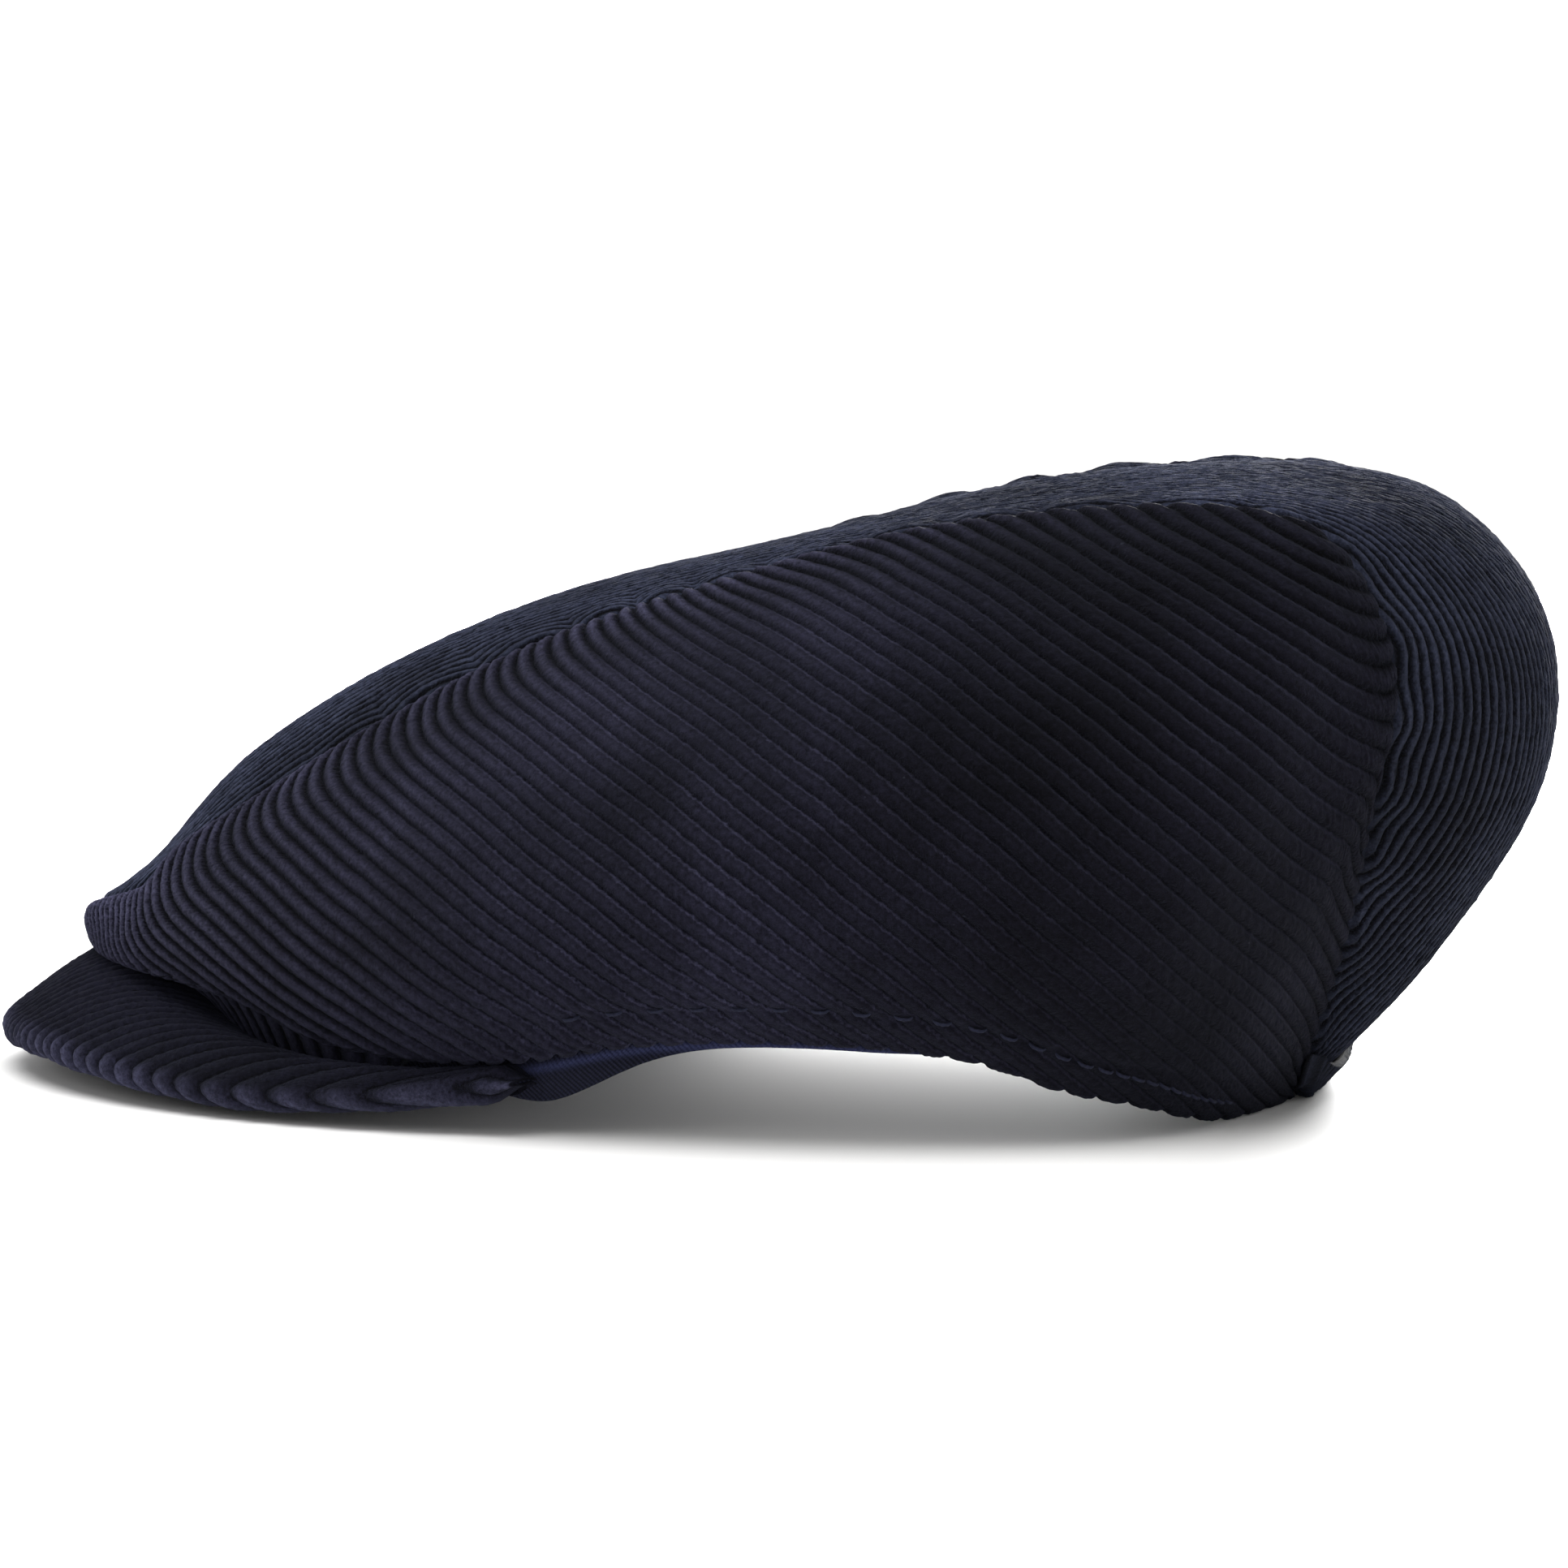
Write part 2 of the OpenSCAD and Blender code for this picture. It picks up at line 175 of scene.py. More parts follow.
def arcs(p, axis):
    """distance walked along one grid direction"""
    d = np.linalg.norm(np.diff(p, axis=axis), axis=-1)
    z = np.zeros_like(np.take(d, [0], axis=axis))
    return np.concatenate([z, np.cumsum(d, axis=axis)], axis=axis)


def turn_under(p, n, t, r, back, n_roll, n_back, target=None, w=None):
    """rows that carry an edge round a small roll and back behind the cloth, or on to a target where w is 1"""
    g = np.linspace(0, np.pi, n_roll + 1)[1:][None, :, None]
    c = p - r * n
    rn = n[:, None] * np.cos(g) + t[:, None] * np.sin(g)
    roll = c[:, None] + r * rn
    end = c - r * n
    stop = end - back * t
    if target is not None:
        stop = stop * (1 - w[:, None]) + target * w[:, None]
    s = np.linspace(0, 1, n_back + 1)[1:][None, :, None]
    inner = end[:, None] * (1 - s) + stop[:, None] * s
    face = np.repeat(-n[:, None], n_back, 1)
    if target is not None:
        down = unit(np.cross(stop - end, np.gradient(p, axis=0)))
        down = down * np.where(down[:, 2:] > 0, -1, 1)
        b = ease(s, 0, 0.2) * w[:, None, None]
        face = unit(face * (1 - b) + down[:, None] * b)
    return np.concatenate([roll, inner], 1), np.concatenate([rn, face], 1)


# ---------------------------------------------------------------- meshes
def make_mesh(name, verts, quads, tris=None, attrs=None):
    me = bpy.data.meshes.new(name)
    verts = np.asarray(verts, float).reshape(-1, 3)
    quads = np.asarray(quads, int).reshape(-1, 4)
    tris = np.zeros((0, 3), int) if tris is None else np.asarray(tris, int).reshape(-1, 3)
    me.vertices.add(len(verts))
    me.vertices.foreach_set("co", (verts * 0.001).astype(np.float32).ravel())
    me.loops.add(quads.size + tris.size)
    me.loops.foreach_set("vertex_index", np.concatenate([quads.ravel(), tris.ravel()]).astype(np.int32))
    starts = np.concatenate([np.arange(len(quads)) * 4, quads.size + np.arange(len(tris)) * 3])
    me.polygons.add(len(starts))
    me.polygons.foreach_set("loop_start", starts.astype(np.int32))
    me.polygons.foreach_set("use_smooth", np.ones(len(starts), bool))
    me.update(calc_edges=True)
    me.validate()
    for key, val in (attrs or {}).items():
        me.attributes.new(key, "FLOAT", "POINT").data.foreach_set("value", np.asarray(val, np.float32).ravel())
    ob = bpy.data.objects.new(name, me)
    bpy.context.scene.collection.objects.link(ob)
    return ob


def grid_quads(m, n, start, wrap):
    i = np.arange(m if wrap else m - 1)[:, None]
    j = np.arange(n - 1)[None, :]
    a = start + i * n + j
    b = start + ((i + 1) % m) * n + j
    return np.stack([a, a + 1, b + 1, b], -1).reshape(-1, 4)


def shell(name, outer, inner, step=4, wrap=False, attrs=None, mirror=False):
    """closed cloth: a fine outer grid backed by a coarser inner one"""
    m, n = outer.shape[:2]
    ii = np.arange(0, m, step)
    jj = np.arange(0, n, step)
    if (not wrap and (m - 1) % step) or (wrap and m % step) or (n - 1) % step:
        raise ValueError(f"{name}: {m} x {n} does not divide by {step}")
    back = inner[ii][:, jj]
    cm, cn = back.shape[:2]
    k = m * n
    verts = np.concatenate([outer.reshape(-1, 3), back.reshape(-1, 3)])
    front = grid_quads(m, n, 0, wrap)
    rear = grid_quads(cm, cn, k, wrap)[:, ::-1]
    tris = []

    def stitch(fine, coarse):
        for c in range(len(coarse) - 1):
            f = fine[c * step:(c + 1) * step + 1]
            h = step // 2
            for s in range(step):
                tris.append((f[s + 1], f[s], coarse[c] if s < h else coarse[c + 1]))
            tris.append((f[h], coarse[c], coarse[c + 1]))

    row = lambda i: i * n + np.arange(n)
    crow = lambda i: k + i * cn + np.arange(cn)
    col = lambda j: np.arange(m) * n + j
    ccol = lambda j: k + np.arange(cm) * cn + j
    if not wrap:
        stitch(row(0), crow(0))
        stitch(row(m - 1)[::-1], crow(cm - 1)[::-1])
    ring = (lambda x: np.concatenate([x, x[:1]])) if wrap else (lambda x: x)
    stitch(ring(col(0))[::-1], ring(ccol(0))[::-1])
    stitch(ring(col(n - 1)), ring(ccol(cn - 1)))
    tris = np.array(tris)
    mid = outer[m // 2, n // 2] - inner[m // 2, n // 2]
    a, b, c, d = verts[front[(m // 2) * (n - 1) + n // 2]]
    if np.dot(np.cross(b - a, d - a), mid) < 0:
        front, rear, tris = front[:, ::-1], rear[:, ::-1], tris[:, ::-1]
    if mirror:
        verts = verts * np.array([-1, 1, 1])
        front, rear, tris = front[:, ::-1], rear[:, ::-1], tris[:, ::-1]
    full = {}
    for key, val in (attrs or {}).items():
        full[key] = np.concatenate([val.ravel(), np.zeros(cm * cn)])
    verts[:, 2] = np.maximum(verts[:, 2], 0.2)
    return make_mesh(name, verts, np.concatenate([front, rear]), tris, full)


def cut(p):
    """flat area of a cloth in square metres, from its smooth surface before the wales are raised"""
    a = np.cross(p[1:, :-1] - p[:-1, :-1], p[:-1, 1:] - p[:-1, :-1])
    b = np.cross(p[:-1, 1:] - p[1:, 1:], p[1:, :-1] - p[1:, 1:])
    return round(float((np.linalg.norm(a, axis=-1).sum() + np.linalg.norm(b, axis=-1).sum()) / 2 * 1e-6), 5)


def pile(shape, seed):
    """uneven pile height, a tenth of a millimetre, in soft clumps along the cloth"""
    r = np.random.default_rng(seed).normal(size=shape)
    soft = (r + np.roll(r, 1, 0) + np.roll(r, 1, 1) + np.roll(r, (1, 1), (0, 1))) / 2
    return 0.055 * soft + 0.02 * r


def wale(phase, power=2.4):
    """height, 0 in a groove and 1 on top of a wale, and how near the groove is"""
    x = np.abs(2 * (phase - np.floor(phase)) - 1)
    return 1 - x ** power, x


def threads(name, items, r=STITCH_R, length=3.6, lift=0.25):
    """stitches of two-ply thread, each arched out of the cloth at its middle"""
    verts, quads, k = [], [], 0
    rings, sides = 15, 10
    s = np.linspace(-0.5, 0.5, rings)
    ang = np.linspace(0, 2 * np.pi, sides, endpoint=False)
    for mid, way, nrm in items:
        side = unit(np.cross(way, nrm))
        up = unit(np.cross(side, way))
        arch = lift - 4 * (lift + 0.55) * s ** 2 * np.abs(2 * s) ** 1.5
        centre = mid + s[:, None] * length * way + arch[:, None] * up
        twist = s[:, None] * 2 * np.pi * 1.6
        rad = r * (0.74 + 0.26 * np.abs(np.cos(ang[None] - twist)))
        rad = rad * (1 - 0.25 * np.abs(2 * s[:, None]) ** 6)
        round_about = np.cos(ang)[None, :, None] * side + np.sin(ang)[None, :, None] * up
        ring = centre[:, None] + rad[..., None] * round_about
        verts.append(ring.reshape(-1, 3))
        i = np.arange(rings - 1)[:, None] * sides
        j = np.arange(sides)[None]
        a, b = k + i + j, k + i + (j + 1) % sides
        quads.append(np.stack([a, b, b + sides, a + sides], -1).reshape(-1, 4))
        k += rings * sides
    return make_mesh(name, np.concatenate(verts), np.concatenate(quads))


# ---------------------------------------------------------------- camera
ELEV, TURN, DIST = math.radians(6.5), math.radians(11), 1450.0
TARGET = np.array([0.0, MID_Y, 53.4])
RIGHT = np.array([-math.sin(TURN), math.cos(TURN), 0.0])
UP = np.array([-math.sin(ELEV) * math.cos(TURN), -math.sin(ELEV) * math.sin(TURN), math.cos(ELEV)])
BACK = np.array([math.cos(ELEV) * math.cos(TURN), math.cos(ELEV) * math.sin(TURN), math.sin(ELEV)])
cam_data = bpy.data.cameras.new("camera")
cam_data.lens = 181.6
cam_data.sensor_width = 36
cam_data.clip_end = 60
cam = bpy.data.objects.new("camera", cam_data)
bpy.context.scene.collection.objects.link(cam)
cam.location = Vector((TARGET + DIST * BACK) * 0.001)
cam.rotation_euler = Vector(BACK).to_track_quat("Z", "Y").to_euler()
bpy.context.scene.camera = cam


# ---------------------------------------------------------------- materials
class Mat:
    def __init__(self, name):
        self.m = bpy.data.materials.new(name)
        self.m.use_nodes = True
        self.t = self.m.node_tree
        self.b = self.t.nodes["Principled BSDF"]
        self.co = self.n("ShaderNodeTexCoord").outputs["Object"]

    def n(self, kind, **ins):
        node = self.t.nodes.new(kind)
        for key, val in ins.items():
            key = key.replace("_", " ")
            if isinstance(val, bpy.types.NodeSocket):
                self.t.links.new(val, node.inputs[key])
            else:
                node.inputs[key].default_value = val
        return node

    def noise(self, scale, detail=2.0, rough=0.5, co=None):
        n = self.n("ShaderNodeTexNoise", Scale=scale, Detail=detail, Roughness=rough, Vector=co or self.co)
        return n.outputs["Fac"]

    def math(self, op, a, b=0.5):
        n = self.t.nodes.new("ShaderNodeMath")
        n.operation = op
        for i, v in enumerate((a, b)):
            if isinstance(v, bpy.types.NodeSocket):
                self.t.links.new(v, n.inputs[i])
            else:
                n.inputs[i].default_value = v
        return n.outputs[0]

    def remap(self, x, a, b, c, d):
        n = self.t.nodes.new("ShaderNodeMapRange")
        for i, v in enumerate((x, a, b, c, d)):
            if isinstance(v, bpy.types.NodeSocket):
                self.t.links.new(v, n.inputs[i])
            else:
                n.inputs[i].default_value = v
        return n.outputs[0]

    def mix(self, f, a, b, kind="MIX"):
        n = self.t.nodes.new("ShaderNodeMix")
        n.data_type = "RGBA"
        n.blend_type = kind
        for key, v in ((0, f), (6, a), (7, b)):
            if isinstance(v, bpy.types.NodeSocket):
                self.t.links.new(v, n.inputs[key])
            else:
                n.inputs[key].default_value = v if key == 0 else (*v, 1) if len(v) == 3 else v
        return n.outputs[2]

    def times(self, c, grey):
        """colour multiplied by a grey value"""
        g = self.n("ShaderNodeCombineColor", Red=grey, Green=grey, Blue=grey)
        return self.mix(1.0, c, g.outputs[0], "MULTIPLY")

    def attr(self, name):
        n = self.t.nodes.new("ShaderNodeAttribute")
        n.attribute_name = name
        return n.outputs["Fac"]

    def bump(self, *layers):
        """layers of (height, distance in m, strength), chained"""
        prev = None
        for height, dist, strength in layers:
            b = self.n("ShaderNodeBump", Height=height, Distance=dist, Strength=strength)
            if prev is not None:
                self.t.links.new(prev, b.inputs["Normal"])
            prev = b.outputs["Normal"]
        self.t.links.new(prev, self.b.inputs["Normal"])

    def done(self, color, rough, sheen=0.0, sheen_rough=0.4, tint=(1, 1, 1), spec=0.3):
        self.t.links.new(color, self.b.inputs["Base Color"])
        if isinstance(rough, bpy.types.NodeSocket):
            self.t.links.new(rough, self.b.inputs["Roughness"])
        else:
            self.b.inputs["Roughness"].default_value = rough
        self.b.inputs["Sheen Weight"].default_value = sheen
        self.b.inputs["Sheen Roughness"].default_value = sheen_rough
        self.b.inputs["Sheen Tint"].default_value = (*tint, 1)
        self.b.inputs["Specular IOR Level"].default_value = spec
        return self.m


def corduroy(name, base, light, dark, sheen, lo=0.66, hi=0.98):
    """wales from the phase carried by the mesh: dark grooves (from lo to hi; dark ground weave and painted shade),
    pile, painted highlights on the crests and as a thin lit border line, and painted light and shade by position
    """
    m = Mat(name)
    tip = m.attr("tip")
    wobble = m.math("ADD", m.remap(m.noise(420, 3, 0.6), 0.3, 0.7, -0.04, 0.04),
                    m.remap(m.noise(1500, 2, 0.6), 0.3, 0.7, -0.06, 0.06))
    f = m.math("FRACT", m.math("ADD", m.attr("phase"), wobble))
    x = m.math("ABSOLUTE", m.math("SUBTRACT", m.math("MULTIPLY", f, 2.0), 1.0))
    lit = m.attr("lit")
    # painted shade: the grooves darkened towards the dark colour, less where lit is high; partly the dark ground weave
    groove = m.math("MULTIPLY", m.math("MULTIPLY", m.remap(x, lo, hi, 0, 1), tip),
                    m.remap(lit, 0, 1, 1.0, 0.15))
    # painted highlight: the wale crests mixed towards the light colour, as strong as the mesh attribute for it
    crest = m.math("MULTIPLY", m.remap(x, 0.75, 0.0, 0, 1), m.attr("crest_highlight"))
    # painted sheen: a thin lighter line along each wale border where lit is high
    off_border = m.math("DIVIDE", m.math("ABSOLUTE", m.math("SUBTRACT", f, 0.88)), 0.11)
    border = m.math("MAXIMUM", m.math("SUBTRACT", 1.0, off_border), 0.0)
    # painted light and shade by position from the mesh attribute, times random blotches of tone
    mottle_and_painted_shading = m.math("MULTIPLY", m.remap(m.noise(24, 4, 0.6), 0.34, 0.66, 0.55, 1.5), m.attr("painted_shading"))
    c = m.mix(m.math("MULTIPLY", crest, 0.75), base, light)
    c = m.mix(groove, c, dark)
    c = m.mix(m.math("MULTIPLY", m.math("MULTIPLY", border, lit), 0.6), c, light)
    c = m.times(c, mottle_and_painted_shading)
    nap = m.remap(m.noise(1100, 5, 0.8), 0.32, 0.68, 0.35, 1.75)
    c = m.times(c, nap)
    lint = m.remap(m.noise(900, 1, 0.3), 0.81, 0.84, 0, 0.25)
    c = m.mix(lint, c, (0.06, 0.065, 0.09))
    profile = m.math("MULTIPLY", m.math("SUBTRACT", 1.0, m.math("POWER", x, 3.0)), tip)
    m.bump((profile, 0.0005, 0.7), (m.noise(1500, 5, 0.8), 0.0006, 0.9))
    return m.done(c, 0.95, sheen, 0.3, (0.45, 0.5, 0.75), 0.08)


MAT = {
    "corduroy_centre": corduroy("corduroy_centre", (0.0075, 0.0090, 0.0165), (0.032, 0.037, 0.064),
                                (0.0006, 0.0007, 0.0015), 0.06, 0.42, 0.86),
    "corduroy_side": corduroy("corduroy_side", (0.0053, 0.0050, 0.0104), (0.036, 0.0355, 0.063),
                              (0.0004, 0.0004, 0.001), 0.06, 0.5, 0.92),
    "corduroy_visor": corduroy("corduroy_visor", (0.0052, 0.0052, 0.0105), (0.028, 0.028, 0.050),
                               (0.0004, 0.0004, 0.001), 0.06),
}


def twill(name, base, dark, edge):
    m = Mat(name)
    s = m.n("ShaderNodeSeparateXYZ", Vector=m.co)
    run = m.math("ADD", m.math("ADD", s.outputs["Y"], m.math("MULTIPLY", s.outputs["X"], 0.35)), s.outputs["Z"])
    line = m.math("SINE", m.math("MULTIPLY", run, 2 * math.pi / 0.0011))
    drop = m.math("SUBTRACT", s.outputs["Y"], s.outputs["Z"])
    yarn = m.math("SINE", m.math("MULTIPLY", drop, 2 * math.pi / 0.0006))
    h = m.math("ADD", line, m.math("MULTIPLY", yarn, 0.35))
    c = m.mix(m.remap(h, -1, 1, 0, 1), dark, base)
    c = m.mix(m.attr("selvage"), c, edge)
    f = m.remap(m.noise(1500, 2, 0.6), 0.3, 0.7, 0.8, 1.2)
    c = m.times(c, f)
    m.bump((h, 0.00018, 0.7), (m.noise(2500, 2, 0.6), 0.0001, 0.4))
    return m.done(c, 0.85, 0.06, 0.4, (0.5, 0.55, 0.8), 0.15)


MAT["twill_tape"] = twill("twill_tape", (0.0125, 0.0135, 0.030), (0.003, 0.0035, 0.009), (0.030, 0.035, 0.090))


def satin(name, base, light):
    m = Mat(name)
    s = m.n("ShaderNodeSeparateXYZ", Vector=m.co)
    weft = m.math("SINE", m.math("MULTIPLY", s.outputs["Y"], 2 * math.pi / 0.0005))
    warp = m.math("SINE", m.math("MULTIPLY", m.math("ADD", s.outputs["X"], s.outputs["Z"]), 2 * math.pi / 0.0009))
    h = m.math("ADD", weft, m.math("MULTIPLY", warp, 0.5))
    c = m.mix(m.remap(m.noise(60, 3, 0.6), 0.3, 0.7, 0, 1), base, light)
    m.bump((h, 0.00004, 0.5), (m.noise(120, 2, 0.5), 0.0009, 0.35))
    return m.done(c, m.remap(m.noise(300, 2, 0.5), 0.3, 0.7, 0.3, 0.42), 0.0, 0.4, (1, 1, 1), 0.5)


MAT["satin_lining"] = satin("satin_lining", (0.010, 0.012, 0.030), (0.018, 0.021, 0.048))


def felt(name, base, light):
    m = Mat(name)
    c = m.mix(m.remap(m.noise(500, 4, 0.7), 0.35, 0.65, 0, 1), base, light)
    m.bump((m.noise(1400, 4, 0.75), 0.0003, 0.8))
    return m.done(c, 0.97, 0.2, 0.5, (1, 1, 1), 0.1)


MAT["interlining"] = felt("interlining", (0.018, 0.019, 0.022), (0.034, 0.035, 0.040))


def weave(name, a, b, size):
    m = Mat(name)
    s = m.n("ShaderNodeSeparateXYZ", Vector=m.co)
    p = m.math("SINE", m.math("MULTIPLY", m.math("ADD", s.outputs["X"], s.outputs["Y"]), 2 * math.pi / size))
    rise = m.math("ADD", s.outputs["Z"], m.math("MULTIPLY", s.outputs["Y"], 0.6))
    q = m.math("SINE", m.math("MULTIPLY", rise, 2 * math.pi / size))
    h = m.math("MULTIPLY", p, q)
    c = m.mix(m.remap(h, -1, 1, 0, 1), a, b)
    c = m.mix(m.attr("selvage"), c, a)
    m.bump((h, 0.00008, 0.7), (m.noise(2500, 2, 0.6), 0.00006, 0.4))
    return m.done(c, 0.6, 0.15, 0.4, (1, 1, 1), 0.35)


MAT["woven_label"] = weave("woven_label", (0.20, 0.21, 0.26), (0.34, 0.36, 0.42), 0.0007)
MAT["tag_tape"] = weave("tag_tape", (0.62, 0.62, 0.59), (0.76, 0.76, 0.74), 0.0005)


def yarn(name, base, light):
    m = Mat(name)
    c = m.mix(m.remap(m.noise(1800, 3, 0.7), 0.3, 0.7, 0, 1), base, light)
    m.bump((m.noise(4000, 2, 0.6), 0.00006, 0.6))
    return m.done(c, 0.85, 0.03, 0.4, (0.6, 0.65, 0.9), 0.15)


MAT["blue_thread"] = yarn("blue_thread", (0.008, 0.009, 0.019), (0.018, 0.020, 0.040))
MAT["navy_thread"] = yarn("navy_thread", (0.012, 0.014, 0.03), (0.03, 0.035, 0.07))


def board(name):
    m = Mat(name)
    c = m.mix(m.remap(m.noise(200, 3, 0.6), 0.3, 0.7, 0, 1), (0.05, 0.05, 0.056), (0.08, 0.08, 0.088))
    m.bump((m.noise(1200, 3, 0.6), 0.00008, 0.5))
    return m.done(c, m.remap(m.noise(90, 2, 0.5), 0.3, 0.7, 0.45, 0.6), 0, 0.4, (1, 1, 1), 0.4)


MAT["visor_board"] = board("visor_board")


def finish_piece(ob, node, slot):
    ob.data.materials.append(MAT[slot])
    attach(ob, "root")
    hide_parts(node)
    return ob


# ---------------------------------------------------------------- wale lines of a side panel
def side_phase():
    """coarse table of the wale phase: lines 34 degrees down to the rear, hooked near the top seam"""
    m, n = 66, 32
    u, t = np.meshgrid(np.linspace(0, 1, m), np.linspace(0, 1, n), indexing="ij")
    p = side_p(u, t)
    nrm = grid_normals(p, False)
    depth = arcs(p, 1)
    pu, pt = unit(np.gradient(p, axis=0)), unit(np.gradient(p, axis=1))
    facing = ease(nrm @ BACK, 0.2, 0.5)[..., None]

    def lie(deg):
        # the tangent that looks this far below level from the left side, and a plain projection where edge-on
        r, d = math.cos(math.radians(deg)), -math.sin(math.radians(deg))
        a, b, c, e = pu @ RIGHT, pt @ RIGHT, pu @ UP, pt @ UP
        det = a * e - b * c
        det = np.where(np.abs(det) < 0.05, 0.05 * np.where(det < 0, -1, 1), det)
        seen = unit(((e * r - b * d) / det)[..., None] * pu + ((a * d - c * r) / det)[..., None] * pt)
        way = r * RIGHT + d * UP
        plain = unit(way - (nrm @ way)[..., None] * nrm)
        return unit(seen * facing + plain * (1 - facing))

    v, v0 = lie(34), lie(104)
    k = u * LAST
    hook = np.clip(1 - depth / 24, 0, 1) ** 1.1 * (1 - ease(k, 5, 8.5))
    v = unit(v * (1 - hook[..., None]) + v0 * hook[..., None])
    g = np.cross(nrm, v) / (PITCH * (0.76 + 0.24 * ease(k, 1.5, 6)))[..., None]
    idx = np.arange(m * n).reshape(m, n)
    rows_a, rows_b, rhs, wt = [], [], [], []
    for axis in (0, 1):
        sl_a = (slice(0, -1), slice(None)) if axis == 0 else (slice(None), slice(0, -1))
        sl_b = (slice(1, None), slice(None)) if axis == 0 else (slice(None), slice(1, None))
        dp = p[sl_b] - p[sl_a]
        gm = (g[sl_a] + g[sl_b]) / 2
        size = np.maximum(np.linalg.norm(dp, axis=-1), 0.3)
        rows_a.append(idx[sl_a].ravel())
        rows_b.append(idx[sl_b].ravel())
        rhs.append((dp * gm).sum(-1).ravel())
        wt.append((1 / size).ravel())
    ia, ib, r, w = (np.concatenate(x) for x in (rows_a, rows_b, rhs, wt))
    w = np.minimum(w, 1.0) ** 2
    a = np.zeros((m * n, m * n))
    np.add.at(a, (ia, ia), w)
    np.add.at(a, (ib, ib), w)
    np.add.at(a, (ia, ib), -w)
    np.add.at(a, (ib, ia), -w)
    rh = np.zeros(m * n)
    np.add.at(rh, ib, w * r)
    np.add.at(rh, ia, -w * r)
    a[0, 0] += 1
    return np.linalg.solve(a, rh).reshape(m, n)


